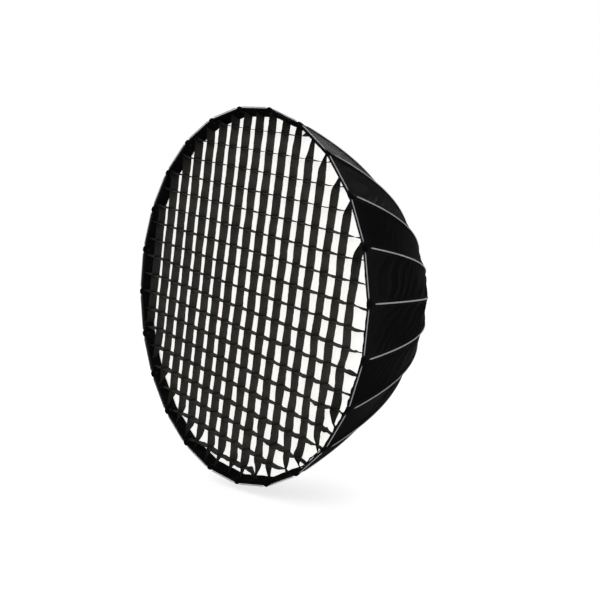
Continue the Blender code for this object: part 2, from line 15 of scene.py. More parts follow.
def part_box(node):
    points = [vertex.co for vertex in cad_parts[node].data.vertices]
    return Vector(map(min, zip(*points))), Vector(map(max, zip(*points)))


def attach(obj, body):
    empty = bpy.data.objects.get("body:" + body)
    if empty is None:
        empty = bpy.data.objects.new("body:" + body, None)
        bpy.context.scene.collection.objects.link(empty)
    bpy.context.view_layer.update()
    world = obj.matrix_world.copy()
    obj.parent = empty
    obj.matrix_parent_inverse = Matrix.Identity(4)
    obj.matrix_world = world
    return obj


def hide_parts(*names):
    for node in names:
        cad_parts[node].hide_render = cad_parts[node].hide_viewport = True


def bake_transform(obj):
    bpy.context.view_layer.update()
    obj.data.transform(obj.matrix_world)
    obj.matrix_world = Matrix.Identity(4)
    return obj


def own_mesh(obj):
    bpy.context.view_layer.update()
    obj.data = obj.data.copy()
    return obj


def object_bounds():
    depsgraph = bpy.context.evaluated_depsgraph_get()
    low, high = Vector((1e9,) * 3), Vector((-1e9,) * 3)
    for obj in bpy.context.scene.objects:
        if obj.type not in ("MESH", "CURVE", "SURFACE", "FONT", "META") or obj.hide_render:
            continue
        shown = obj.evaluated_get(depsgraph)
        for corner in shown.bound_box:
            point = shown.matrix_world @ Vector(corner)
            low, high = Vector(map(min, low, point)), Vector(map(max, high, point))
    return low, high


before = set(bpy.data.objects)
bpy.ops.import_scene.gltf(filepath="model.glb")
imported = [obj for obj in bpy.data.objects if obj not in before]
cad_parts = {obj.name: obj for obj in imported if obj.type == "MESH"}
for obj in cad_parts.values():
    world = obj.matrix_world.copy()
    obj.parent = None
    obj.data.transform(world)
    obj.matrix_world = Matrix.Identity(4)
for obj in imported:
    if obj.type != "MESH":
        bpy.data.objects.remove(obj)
cad_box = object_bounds()

RIBS = 24
STEP = math.tau / RIBS
HALF_SIN, HALF_COS = math.sin(STEP / 2), math.cos(STEP / 2)

# Shell
SHELL_ROWS = 160
# Columns of the shell between a rib and mid-panel, as shares of the way
SIDE_SHARES = (0.0, 0.03, 0.06, 0.09, 0.13, *(0.13 + 0.87 * i / 16 for i in range(1, 17)))
CLOTH = 0.0010
PANEL_SAG = 0.0028
FOLD_HEIGHT = 0.0068
FOLD_SPACING = 0.085  # along a rib
FOLD_SLANT = 3.4  # folds crossed from one rib to the next at the sides, where they slant most
SEAM_RIDGE = 0.0022
SEAM_WIDTH = 0.009
SEAM_FADE = 0.03  # over which a seam's ridge dies out at the hub and the rim
HUB_HEM = [(-0.0014, 0.0040), (-0.0015, 0.0024), (-0.0008, 0.0010)]  # from the hub end, turned back
RIM_EDGE = [  # from the rim end of the outline, turned in
    (-0.0010, -0.0018),
    (-0.0030, -0.0030),
    (-0.0055, -0.0028),
    (-0.0075, -0.0010),
    (-0.0088, 0.0030),
]
HEM_STEPS = 12
HEM_SLACK = 0.0024
DIFFUSER_HEM = 0.007  # the diffuser's sewn edge beyond its plain sheet
DIFFUSER_CLOTH = 0.0008
BAFFLE_STRAPS = 8
STRAP_CLOTH = 0.0012

# Trim
PIPING_WIDTH = 0.0027
PIPING_HEIGHT = 0.0020
PIPING_START = 0.038  # from the rim back to where a rib's piping begins
RIM_PIPING = 0.0017
RIM_PIPING_START = 0.018
RIM_PIPING_OUT = 0.0026
RIM_PIPING_FRONT = 0.0016
POCKET_HALF = 0.013
POCKET_BACK = 0.024
POCKET_PROUD = 0.0024

# Grid
GRID_TURN = math.radians(10.5)
COLUMN_PITCH = 0.0805
COLUMN_START = -0.020
ROW_PITCH = 0.0785
ROW_START = 0.033
STRIP_CLOTH = 0.0011
ROW_U = 1.0  # U starts here on the level strips, so that their material can be told apart and given painted shade
CELL_STEPS = 6  # faces along a strip in each cell
DEPTH_STEPS = 4
STRIP_COUNT = 10  # strips on either side of the first one
SHORTEST_STRIP = 0.30  # a shorter one would only hug the border
END_GAP = 0.004  # room between a strip's end and its last station before that
AT_BORDER = 0.002  # points nearer to the border than this are held by it
GRID_FRAMES = 25
GRID_GRAVITY = 0.3
HANGING = {
    "quality": 5,
    "mass": 0.01,
    "air_damping": 2.0,
    "tension_stiffness": 30.0,
    "compression_stiffness": 30.0,
    "shear_stiffness": 5.0,
    "bending_stiffness": 0.01,
    "vertex_group_mass": "pins",
    "pin_stiffness": 1.0,
    "vertex_group_shrink": "slack",
    "shrink_min": -0.001,
    "shrink_max": -0.040,
}
MOST_SAG = 0.015
CROSSING_HOLD = 0.6
NECK_LENGTH = 0.055  # how far from its end a slack strip starts to narrow
COLUMN_NECK = 0.029  # and by how much at its front edge
ROW_NECK = 0.016
BACK_NECK = 0.009  # and at its back edge, at the right and below
LEFT_NECK = 0.026
BAND_OPENING = 0.0190  # how much wider the border band is at its front than at its back

# Cuff
CUFF_CLEARANCE = 0.0014
CUFF_GATHERS = 72
CUFF_GATHER_HEIGHT = 0.0006
CUFF_PROFILE = [  # rise from the cuff's inside radius, and share of the way from back to front
    (0.0003, 0.0),
    (0.0010, 0.12),
    (0.0016, 0.3),
    (0.0019, 0.55),
    (0.0017, 0.8),
    (0.0026, 0.93),
    (0.0042, 0.98),
]

# Finish
SHELL_THREAD = 0.0007
WEBBING_THREAD = 0.0012
ELASTIC_THREAD = 0.0008
DIFFUSER_THREAD = 0.0009
GRID_THREAD = 0.0010
STITCH_LINE = 0.0105  # from a seam to the line of stitches on either side
STITCH_WIDTH = 0.0010
STITCH_PITCH = 0.0042
STITCH_SHARE = 0.62
RIPSTOP_PITCH = 0.0060
RIPSTOP_SHARE = 0.10
# painted glow: the diffuser and the inner baffle shine by emission, with no lamp inside the box
DIFFUSER_GLOW = 0.76
BAFFLE_GLOW = 0.05
HARD_LOOKS = {  # name, colour, roughness, metallic, grain, bump, and the stretch of the grain
    "cast": ("black_powder_coat", (0.020, 0.020, 0.021), 0.50, 0.25, 900.0, 0.0002),
    "bayonet": ("turned_aluminium", (0.62, 0.62, 0.64), 0.30, 1.0, 300.0, 0.00008, (1, 8, 1)),
    "steel": ("zinc_steel", (0.55, 0.55, 0.57), 0.34, 1.0, 500.0, 0.00008),
    "nylon": ("moulded_nylon", (0.022, 0.022, 0.023), 0.52, 0.0, 700.0, 0.00015),
    "acetal": ("grey_acetal", (0.17, 0.17, 0.18), 0.45, 0.0, 600.0, 0.0001),
    "rod": ("black_fibreglass", (0.015, 0.015, 0.016), 0.32, 0.0, 350.0, 0.0001, (1, 0.1, 1)),
}
FINISHES = {  # look of each CAD part that stays, and the width of its softened edges
    "hub_ring": ("cast", 0.0006),
    "cover_ring": ("cast", 0.0004),
    "bayonet_ring": ("bayonet", 0.0006),
    "retaining_ring": ("steel", 0.0004),
    "hinge_wire": ("steel", 0.0),
    "slide_ring": ("nylon", 0.0005),
    "lock_knob": ("nylon", 0.0006),
    "lock_screw": ("steel", 0.0003),
    "latch_1": ("acetal", 0.0003),
    "latch_2": ("acetal", 0.0003),
}
SOFT_ANGLE = math.radians(40)
COATING_IOR = 1.03  # the shell's matt coating hardly reflects edge on
COATING_GAIN = 0.62  # and more the further it turns to face the viewer
COATING_TURN = 0.62

# Light
AMBIENT = 0.45  # light from the surroundings, against the full white that the camera sees
FLOOR_GLOW = 0.72
LIGHTS = [  # name, place, power and size
    ("key", (2.6, -3.4, 2.6), 26.0, 2.2),
    ("side", (4.0, 0.8, 1.6), 8.0, 1.6),
    ("back", (-2.4, 3.4, 3.0), 60.0, 2.0),
]

# Camera
CAMERA_PLACE = (3.066, -2.691, 0.146)
CAMERA_AIM = (-0.76479, 0.64296, -0.04116)
CAMERA_UP = (-0.03748, 0.01937, 0.99911)
CAMERA_LENS = 57.15


# Outline read from the frame


def shell_outline():
    """Cubics of the shell's radius and y in a rib's plane, over t, hub 0 to rim 1.

    A point is on the outside when the one nearest to it, across the wall, has a smaller radius.
    """
    found = {
        (round(v.co.z, 5), round(v.co.y, 5))
        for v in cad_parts["outer_shell"].data.vertices
        if abs(v.co.x) < 1e-4 and v.co.z > 0
    }
    points = np.array(sorted(found, key=lambda p: -p[1]))
    outer = []
    for i, point in enumerate(points):
        distance = np.linalg.norm(points - point, axis=1)
        distance[i] = 1.0
        if point[0] > points[np.argmin(distance)][0]:
            outer.append(point)
    outer = np.array(sorted(outer, key=lambda p: p[0]))
    t = np.linspace(0, 1, len(outer))
    return np.polyfit(t, outer[:, 0], 3), np.polyfit(t, outer[:, 1], 3)


RADIUS_OF, Y_OF = shell_outline()
RIM_RADIUS = float(np.polyval(RADIUS_OF, 1))
RIM_Y = float(np.polyval(Y_OF, 1))
FINE_T = np.linspace(0, 1, 1001)
FINE_STEPS = np.hypot(np.diff(np.polyval(RADIUS_OF, FINE_T)), np.diff(np.polyval(Y_OF, FINE_T)))
FINE_LENGTH = np.concatenate([[0], np.cumsum(FINE_STEPS)])
RIB_LENGTH = float(FINE_LENGTH[-1])


def outline(length):
    """(radius, y, normal radius, normal y) at a distance from the hub end along the outline."""
    t = np.interp(length, FINE_LENGTH, FINE_T)
    dr = np.polyval(np.polyder(RADIUS_OF), t)
    dy = np.polyval(np.polyder(Y_OF), t)
    size = np.hypot(dr, dy)
    return np.polyval(RADIUS_OF, t), np.polyval(Y_OF, t), -dy / size, dr / size


def turn(points, number):
    """Points made around the top rib, turned to the rib of this number."""
    c, s = math.cos(number * STEP), math.sin(number * STEP)
    x, y, z = points[..., 0], points[..., 1], points[..., 2]
    return np.stack([x * c + z * s, y, z * c - x * s], axis=-1)


def ripple(x, y, z):
    return noise.noise(Vector((x, y, z)))


def clamp(value):
    return max(0.0, min(1.0, value))


# Meshes


def surface_normals(points, cyclic=False):
    """Unit normals of a (rows, columns, 3) surface, along rows cross columns."""
    down = np.gradient(points, axis=0)
    if cyclic:
        side = np.roll(points, -1, axis=1) - np.roll(points, 1, axis=1)
    else:
        side = np.gradient(points, axis=1)
    normals = np.cross(down, side)
    return normals / np.linalg.norm(normals, axis=2)[..., None]


def sheet_faces(rows, columns, cyclic=False):
    """Quads of a (rows, columns) surface, facing the way surface_normals points."""
    index = np.arange(rows * columns).reshape(rows, columns)
    if cyclic:
        index = np.concatenate([index, index[:, :1]], axis=1)
    corners = index[:-1, :-1], index[1:, :-1], index[1:, 1:], index[:-1, 1:]
    return np.stack([corner.ravel() for corner in corners], axis=1)


@dataclass
class Part:
    """Points, faces, UVs and material slots, with corner normals and flat faces where known."""

    points: np.ndarray
    faces: list
    uv: np.ndarray
    slots: list
    normals: list | None = None
    flat: list | None = None


def cloth(points, normals, faces, uv, thickness, outward=0.0, slot=0, lining=None):
    """A sheet with two sides and edges, with this share of its thickness outward of the points."""
    points, normals, uv = (
        np.asarray(a).reshape(-1, np.shape(a)[-1]) for a in (points, normals, uv)
    )
    count = len(points)
    top = points + normals * thickness * outward
    bottom = points - normals * thickness * (1 - outward)
    front = [tuple(int(i) for i in face) for face in faces]
    back = [tuple(i + count for i in reversed(face)) for face in front]
    edges = {(face[i - 1], face[i]) for face in front for i in range(len(face))}
    open_edges = sorted(edge for edge in edges if edge[::-1] not in edges)
    walls = [(a, a + count, b + count, b) for a, b in open_edges]
    corner_normals = [normals[i] for face in front for i in face]
    corner_normals += [-normals[i - count] for face in back for i in face]
    corner_normals += [(0.0, 0.0, 0.0)] * (4 * len(walls))
    inside = slot if lining is None else lining
    slots = [slot] * len(front) + [inside] * len(back) + [slot] * len(walls)
    flat = [False] * (2 * len(front)) + [True] * len(walls)
    points, uv = np.concatenate([top, bottom]), np.concatenate([uv, uv])
    return Part(points, front + back + walls, uv, slots, corner_normals, flat)


def sheet(rows, uv, thickness, outward=0.0, slot=0, cyclic=False):
    """Cloth through rows of points."""
    points = np.array(rows)
    faces = sheet_faces(*points.shape[:2], cyclic)
    return cloth(points, surface_normals(points, cyclic), faces, uv, thickness, outward, slot)


def tube(centres, side, up, wide, high, steps=10, slot=0):
    """A rod of oval section with rounded ends. side and up are unit vectors at each centre."""
    count = len(centres)
    share = np.ones(count)
    share[[0, -1]] = 0.35
    share[[1, -2]] = 0.85
    angles = np.linspace(0, math.tau, steps, endpoint=False)
    ring = (
        centres[:, None]
        + side[:, None] * (wide * share)[:, None, None] * np.cos(angles)[None, :, None]
        + up[:, None] * (high * share)[:, None, None] * np.sin(angles)[None, :, None]
    )
    faces = np.roll(sheet_faces(count, steps, cyclic=True)[:, ::-1], 1, axis=1).tolist()
    faces.append(list(range(steps))[::-1])
    faces.append([(count - 1) * steps + j for j in range(steps)])
    along = np.concatenate([[0], np.cumsum(np.linalg.norm(np.diff(centres, axis=0), axis=1))])
    uv = np.stack([np.tile(angles / math.tau * 0.01, count), np.repeat(along, steps)], axis=-1)
    return Part(ring.reshape(-1, 3), faces, uv, [slot] * len(faces))


def turned(part, number):
    """The part, made at the top rib, turned to another rib."""
    part.points = turn(part.points, number)
    if part.normals:
        part.normals = list(turn(np.array(part.normals, float), number))
    return part


def add_object(name, data):
    obj = bpy.data.objects.new(name, data)
    bpy.context.scene.collection.objects.link(obj)
    return obj


def piece(name, parts, materials):
    """One object from several parts."""
    points, faces, uvs, slots, normals, flat = [], [], [], [], [], []
    start = 0
    for part in parts:
        points.append(part.points)
        uvs.append(part.uv)
        slots += part.slots
        flat += part.flat or [False] * len(part.faces)
        faces += [tuple(start + i for i in face) for face in part.faces]
        corners = sum(len(face) for face in part.faces)
        normals += part.normals or [(0.0, 0.0, 0.0)] * corners
        start += len(part.points)
    mesh = bpy.data.meshes.new(name)
    mesh.from_pydata(np.concatenate(points).tolist(), [], faces)
    layer = mesh.uv_layers.new(name="UVMap")
    corner = np.zeros(len(mesh.loops), np.int32)
    mesh.loops.foreach_get("vertex_index", corner)
    layer.data.foreach_set("uv", np.concatenate(uvs)[corner].astype(np.float32).ravel())
    for material in materials:
        mesh.materials.append(material)
    mesh.polygons.foreach_set("material_index", np.array(slots, np.int32))
    mesh.polygons.foreach_set("use_smooth", ~np.array(flat, bool))
    mesh.normals_split_custom_set([tuple(normal) for normal in normals])
    return add_object(name, mesh)


# Materials


class Nodes:
    """Short calls for the node tree of one material, or of the world."""

    def __init__(self, name, owners=bpy.data.materials, shader="Principled BSDF"):
        self.owner = owners.new(name)
        self.owner.use_nodes = True
        self.tree = self.owner.node_tree
        self.shader = self.tree.nodes[shader]
        coordinates = self.add("ShaderNodeTexCoord").outputs
        self.place, self.uv = coordinates["Object"], coordinates["UV"]

    def add(self, kind, **values):
        node = self.tree.nodes.new(kind)
        for key, value in values.items():
            if hasattr(node, key):
                setattr(node, key, value)
            else:
                node.inputs[key.replace("_", " ")].default_value = value
        return node

    def link(self, out, into):
        self.tree.links.new(out, into)

    def split(self, where):
        node = self.add("ShaderNodeSeparateXYZ")
        self.link(where, node.inputs[0])
        return node.outputs

    def mix(self, blend_type="MIX"):
        return self.add("ShaderNodeMix", data_type="RGBA", blend_type=blend_type)

    def math(self, operation, first, second=None):
        node = self.add("ShaderNodeMath", operation=operation)
        for slot, value in zip(node.inputs, (first, second)):
            if isinstance(value, (int, float)):
                slot.default_value = value
            elif value is not None:
                self.link(value, slot)
        return node.outputs[0]

    def times(self, first, second):
        return self.math("MULTIPLY", first, second)

    def stripes(self, value, pitch, share):
        """1 on a share of every pitch, and 0 between."""
        turns = self.math("FRACT", self.math("DIVIDE", value, pitch))
        return self.math("LESS_THAN", turns, share)

    def noise(self, scale, detail=2.0, roughness=0.5, where=None):
        node = self.add("ShaderNodeTexNoise", Scale=scale, Detail=detail, Roughness=roughness)
        self.link(self.place if where is None else where, node.inputs["Vector"])
        return node.outputs["Fac"]

    def ramp(self, value, stops):
        node = self.add("ShaderNodeValToRGB")
        ramp = node.color_ramp
        while len(ramp.elements) < len(stops):
            ramp.elements.new(0.5)
        for element, (place, color) in zip(ramp.elements, stops):
            element.position = place
            element.color = (*color, 1.0)
        self.link(value, node.inputs["Fac"])
        return node.outputs["Color"]

    def scale_range(self, value, low, high):
        node = self.add("ShaderNodeMapRange")
        node.inputs["To Min"].default_value = low
        node.inputs["To Max"].default_value = high
        self.link(value, node.inputs["Value"])
        return node.outputs["Result"]

    def bump(self, height, distance, strength=1.0, under=None):
        node = self.add("ShaderNodeBump", Distance=distance, Strength=strength)
        self.link(height, node.inputs["Height"])
        if under is not None:
            self.link(under, node.inputs["Normal"])
        return node.outputs["Normal"]

    def set(self, **values):
        for key, value in values.items():
            slot = self.shader.inputs[key.replace("_", " ")]
            if isinstance(value, (int, float, tuple)):
                slot.default_value = value
            else:
                self.link(value, slot)

    def seen_by_camera(self):
        return self.add("ShaderNodeLightPath").outputs["Is Camera Ray"]

    def weave(self, where, thread):
        """Height of a plain weave with threads this wide, from the first two coordinates."""
        parts = self.split(where)
        turns = math.pi / thread
        across = self.math("SINE", self.times(parts[0], turns))
        along = self.math("SINE", self.times(parts[1], turns))
        return self.times(across, along)


def shell_material():
    """Black coated nylon: fine weave, ripstop lines and stitches beside each rib's seam."""
    n = Nodes("shell_black_nylon")
    aside, along = n.split(n.uv)[:2]
    cloudy = n.noise(3.5, 4.0, 0.6)
    color = n.ramp(cloudy, [(0.3, (0.0029, 0.0029, 0.0035)), (0.7, (0.0048, 0.0048, 0.0057))])
    off_line = n.math("SUBTRACT", n.math("ABSOLUTE", aside), STITCH_LINE)
    on_line = n.math("LESS_THAN", n.math("ABSOLUTE", off_line), STITCH_WIDTH / 2)
    stitch = n.times(on_line, n.stripes(along, STITCH_PITCH, STITCH_SHARE))
    mix = n.mix()
    n.link(stitch, mix.inputs["Factor"])
    n.link(color, mix.inputs["A"])
    mix.inputs["B"].default_value = (0.022, 0.022, 0.024, 1)
    lines = (n.stripes(way, RIPSTOP_PITCH, RIPSTOP_SHARE) for way in (aside, along))
    ripstop = n.math("MAXIMUM", *lines)
    weave = n.weave(n.uv, SHELL_THREAD)
    height = n.math("ADD", n.times(weave, 0.25), n.times(ripstop, 0.5))
    height = n.math("ADD", height, n.times(stitch, 1.5))
    fine = n.bump(height, 0.00018, 0.5)
    creases = n.noise(26.0, 3.0, 0.55)
    turned_away = n.add("ShaderNodeLayerWeight").outputs["Facing"]
    facing = n.math("MAXIMUM", n.math("SUBTRACT", COATING_TURN, turned_away), 0.0)
    n.set(
        Base_Color=mix.outputs["Result"],
        Roughness=n.scale_range(cloudy, 0.38, 0.50),
        Normal=n.bump(creases, 0.0012, 0.35, fine),
        IOR=n.math("ADD", n.times(facing, COATING_GAIN), COATING_IOR),
        Specular_IOR_Level=0.4,
    )
    return n.owner


def lining_material():
    """Silver reflective lining, slightly crinkled."""
    n = Nodes("silver_lining")
    crinkle = n.noise(90.0, 5.0, 0.65)
    soft = n.noise(9.0, 3.0)
    n.set(
        Base_Color=n.ramp(soft, [(0.3, (0.62, 0.63, 0.65)), (0.7, (0.74, 0.75, 0.77))]),
        Metallic=0.85,
        Roughness=n.scale_range(soft, 0.30, 0.42),
        Normal=n.bump(crinkle, 0.0010, 0.6),
    )
    return n.owner


def piping_material():
    """Light grey woven piping."""
    n = Nodes("grey_piping")
    around, along = n.split(n.uv)[:2]
    turns = n.math("ADD", n.times(around, 900.0), n.times(along, 3000.0))
    braid = n.math("SINE", turns)
    dirt = n.noise(22.0, 4.0, 0.6)
    n.set(
        Base_Color=n.ramp(dirt, [(0.3, (0.46, 0.46, 0.49)), (0.7, (0.58, 0.58, 0.61))]),
        Roughness=0.55,
        Normal=n.bump(braid, 0.0003, 0.5),
        Sheen_Weight=0.2,
    )
    return n.owner


def webbing_material(name, dark, light, thread=WEBBING_THREAD):
    """Black woven tape for pockets, hems, straps and the cuff."""
    n = Nodes(name)
    cloudy = n.noise(30.0, 3.0)
    n.set(
        Base_Color=n.ramp(cloudy, [(0.3, dark), (0.7, light)]),
        Roughness=0.78,
        Normal=n.bump(n.weave(n.uv, thread), 0.0004, 0.6),
        IOR=COATING_IOR,
    )
    return n.owner


def diffuser_material(name, glow):
    """White translucent polyester with a fine weave and faint folds, with a painted glow from
    emission.
    """
    n = Nodes(name)
    cloudy = n.noise(5.0, 4.0, 0.55)
    folds = n.noise(14.0, 2.0)
    weave = n.bump(n.weave(n.uv, DIFFUSER_THREAD), 0.00025, 0.5)
    n.set(
        Base_Color=n.ramp(cloudy, [(0.3, (0.88, 0.88, 0.86)), (0.7, (0.91, 0.91, 0.89))]),
        Roughness=0.85,
        Normal=n.bump(folds, 0.0020, 0.12, weave),
        Sheen_Weight=0.1,
        Subsurface_Weight=0.15,
        Subsurface_Scale=0.01,
        # painted glow: emission stands in for light shining through the cloth
        Emission_Color=(1.0, 1.0, 0.975, 1.0),
        Emission_Strength=glow,
    )
    return n.owner


def grid_material():
    """Dark brown-grey woven strip, darker where strips cross (partly the sewn seam, partly painted
    shade of the crossing strip), with painted shade on the level strips and painted shadow towards
    the border.

    V counts cells along a strip.
    """
    n = Nodes("grid_cloth")
    depth, cells = n.split(n.uv)[:2]
    threads = n.add("ShaderNodeCombineXYZ")
    n.link(depth, threads.inputs[0])
    n.link(n.times(cells, COLUMN_PITCH), threads.inputs[1])
    from_crossing = n.math("PINGPONG", cells, 0.5)
    cloudy = n.noise(12.0, 4.0, 0.6)
    mix = n.mix("MULTIPLY")
    reach = n.add("ShaderNodeVectorMath", operation="LENGTH")
    flat = n.add("ShaderNodeVectorMath", operation="MULTIPLY")
    flat.inputs[1].default_value = (1.0, 0.0, 1.0)
    n.link(n.place, flat.inputs[0])
    n.link(flat.outputs[0], reach.inputs[0])
    # darker at each crossing: partly the sewn seam, partly painted shade cast by the crossing strip
    crossing = n.ramp(from_crossing, [(0.045, (0.30, 0.30, 0.30)), (0.14, (1, 1, 1))])
    # painted shade: the level strips are darkened against the light that falls on their tops
    level_strip_painted_shade = n.ramp(depth, [(0.4 * ROW_U, (1, 1, 1)), (0.6 * ROW_U, (0.62, 0.60, 0.58))])
    # painted shadow: the strips darken towards the border, where the rim's lip shades their ends
    into_painted_shadow = n.math("SUBTRACT", reach.outputs["Value"], 0.5)
    border = n.ramp(into_painted_shadow, [(0.13, (1, 1, 1)), (0.215, (0.2, 0.2, 0.2))])
    color = n.ramp(cloudy, [(0.3, (0.034, 0.0318, 0.0285)), (0.7, (0.054, 0.0505, 0.0455))])
    n.link(n.times(n.times(crossing, border), level_strip_painted_shade), mix.inputs["B"])
    n.link(color, mix.inputs["A"])
    mix.inputs["Factor"].default_value = 1.0
    fuzz = n.noise(400.0, 2.0)
    weave = n.weave(threads.outputs[0], GRID_THREAD)
    height = n.math("ADD", weave, n.times(fuzz, 0.8))
    n.set(
        Base_Color=mix.outputs["Result"],
        Roughness=0.9,
        Normal=n.bump(height, 0.0003, 0.6),
        Sheen_Weight=0.05,
        Specular_IOR_Level=0.2,
    )
    return n.owner


def metal_material(name, color, roughness, metallic, grain, bump, stretch=(1, 1, 1)):
    """Metal or moulded plastic with grain, worn a little lighter where the noise peaks."""
    n = Nodes(name)
    mapping = n.add("ShaderNodeMapping")
    mapping.inputs["Scale"].default_value = stretch
    n.link(n.place, mapping.inputs["Vector"])
    fine = n.noise(grain, 3.0, 0.6, mapping.outputs[0])
    broad = n.noise(25.0, 3.0)
    light = tuple(min(1.0, c * 1.22 + 0.004) for c in color)
    n.set(
        Base_Color=n.ramp(broad, [(0.35, color), (0.75, light)]),
        Metallic=metallic,
        Roughness=n.scale_range(fine, roughness - 0.06, roughness + 0.10),
        Normal=n.bump(fine, bump, 0.6),
    )
    return n.owner


# Shell, lip and trim


def hollow(panel, share, length):
    """How far the cloth lies inside a panel's straight line: sag and slanting folds."""
    across = 4 * share * (1 - share)
    ends = max(0.0, min(1.0, length / 0.06, (RIB_LENGTH - length) / 0.20))
    slant = FOLD_SLANT * math.sin((panel + 0.5) * STEP) * (1 + 0.6 * ripple(panel * 1.9, 4.0, 1.0))
    wander = 1.3 * ripple(panel * 1.7, length * 4, share * 1.5)
    turns = length / FOLD_SPACING - slant * (share - 0.5) + wander
    ridge = (0.5 + 0.5 * math.cos(math.tau * turns)) ** 3
    patch = ripple(panel * 2.3 + 9, length * 3.5, share * 1.8) + 0.35
    strength = max(0.0, patch) * (1.3 - length / RIB_LENGTH)
    fade = min(1.0, across * 1.6) * ends
    broad = 0.0024 * ripple(panel * 5.3, length * 3.2, share * 2.4) * fade
    return PANEL_SAG * across * ends**0.8 - FOLD_HEIGHT * strength * ridge * fade + broad


def ring_shares():
    """(panel, share, signed side share from the nearest rib) for every column round the shell."""
    columns = []
    for panel in range(RIBS):
        for s in SIDE_SHARES[:-1]:
            columns.append((panel, s / 2, s))
        for s in SIDE_SHARES[:0:-1]:
            columns.append((panel, 1 - s / 2, -s))
    return columns


def between_ribs(panel, share, radius, y):
    """A point on the straight line between two ribs, and the panel's outward direction."""
    a, b = panel * STEP, (panel + 1) * STEP
    x = radius * ((1 - share) * math.sin(a) + share * math.sin(b))
    z = radius * ((1 - share) * math.cos(a) + share * math.cos(b))
    facing = (panel + (0.5 if share else 0.0)) * STEP
    return x, y, z, math.sin(facing), math.cos(facing)


def hem_outline():
    """(radius, y) points over the rim and back along the inside to the diffuser."""
    back_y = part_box("front_lip")[1].y
    back_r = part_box("front_diffuser")[1].z + DIFFUSER_HEM + 0.002
    hem = [(RIM_RADIUS + out, RIM_Y + back) for out, back in RIM_EDGE]
    start_r, start_y = hem[-1]
    for i in range(1, HEM_STEPS + 1):
        r = start_r + (back_r - start_r) * i / HEM_STEPS
        y = start_y + (back_y - start_y) * i / HEM_STEPS
        hem.append((r, y))
    return hem


HEM = hem_outline()


def shell_surface():
    """Points, normals and UVs of the whole shell, from the hub over the rim to the diffuser."""
    columns = ring_shares()
    rows, uvs = [], []
    hub_r, hub_y = outline(0.0)[:2]
    for out, back in HUB_HEM:
        ring = hub_r + out, hub_y + back
        rows.append([between_ribs(panel, share, *ring)[:3] for panel, share, _ in columns])
        uvs.append([(s * hub_r * HALF_SIN, -back) for _, _, s in columns])
    for length in np.linspace(0, RIB_LENGTH, SHELL_ROWS):
        r, y, nr, ny = outline(length)
        seam_end = clamp(min(length, RIB_LENGTH - length) / SEAM_FADE)
        row, uv = [], []
        for panel, share, s in columns:
            x0, y0, z0, out_x, out_z = between_ribs(panel, share, r, y)
            aside = s * r * HALF_SIN
            seam = SEAM_RIDGE * seam_end * math.exp(-((aside / SEAM_WIDTH) ** 2))
            rise = seam - hollow(panel, share, length)
            row.append((x0 + rise * nr * out_x, y0 + rise * ny, z0 + rise * nr * out_z))
            uv.append((aside, length))
        rows.append(row)
        uvs.append(uv)
    travelled = RIB_LENGTH
    previous = (RIM_RADIUS, RIM_Y)
    for i, (r, y) in enumerate(HEM):
        travelled += math.hypot(r - previous[0], y - previous[1])
        previous = (r, y)
        depth = max(0, i + 1 - len(RIM_EDGE)) / HEM_STEPS
        row, uv = [], []
        for panel, share, s in columns:
            x0, y0, z0, out_x, out_z = between_ribs(panel, share, r, y)
            slack = HEM_SLACK * depth * ripple(panel * 4.1 + 20, share * 4.0, depth * 2.0)
            row.append((x0 - slack * out_x, y0, z0 - slack * out_z))
            uv.append((s * r * HALF_SIN, travelled))
        rows.append(row)
        uvs.append(uv)
    points = np.array(rows)
    return points, surface_normals(points, cyclic=True), np.array(uvs)


def make_gores(looks):
    """The shell, cut at mid-panel so that each half panel can follow its rib."""
    points, normals, uvs = shell_surface()
    half = len(SIDE_SHARES) - 1
    faces = sheet_faces(len(points), 2 * half + 1)
    for number in range(RIBS):
        middle = number * 2 * half
        columns = np.arange(middle - half, middle + half + 1) % (RIBS * 2 * half)
        uv = uvs[:, columns].copy()
        uv[:, 0, 0] = -uv[:, -1, 0]
        part = cloth(points[:, columns], normals[:, columns], faces, uv, CLOTH, lining=1)
        gore = piece(f"shell_gore_{number + 1:02d}", [part], [looks["shell"], looks["lining"]])
        follow_rib(gore, number)
        if number == 0:
            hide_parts("outer_shell", "front_lip")


def follow_rib(obj, number):
    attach(obj, f"rib_{number + 1:02d}")


def along_rib(lengths, rise):
    """Points, sides and ups along the top rib's outline, standing proud of it."""
    r, y, nr, ny = outline(lengths)
    centres = np.stack([np.zeros_like(r), y + ny * rise, r + nr * rise], axis=-1)
    side = np.tile([1.0, 0.0, 0.0], (len(r), 1))
    up = np.stack([np.zeros_like(r), ny, nr], axis=-1)
    return centres, side, up


def rim_piping(sign):
    """Half of a rim edge's piping on one side of the top rib, at full width where halves meet."""
    half = RIM_RADIUS * HALF_SIN
    edge = np.linspace(RIM_PIPING_START, half, 14)
    x = sign * edge * HALF_COS
    z = RIM_RADIUS - edge * HALF_SIN
    x = x + sign * RIM_PIPING_OUT * HALF_SIN
    y = np.full_like(x, RIM_Y - RIM_PIPING_FRONT)
    centres = np.stack([x, y, z + RIM_PIPING_OUT * HALF_COS], axis=-1)
    up = np.tile([0.0, 1.0, 0.0], (len(x), 1))
    side = np.tile([0.0, 0.0, float(sign)], (len(x), 1))
    part = tube(centres, side, up, RIM_PIPING, RIM_PIPING)
    rings = part.points.reshape(len(x), -1, 3)
    rings[-2:] = centres[-2:, None] + (rings[4] - centres[4])
    part.points = rings.reshape(-1, 3)
    return part


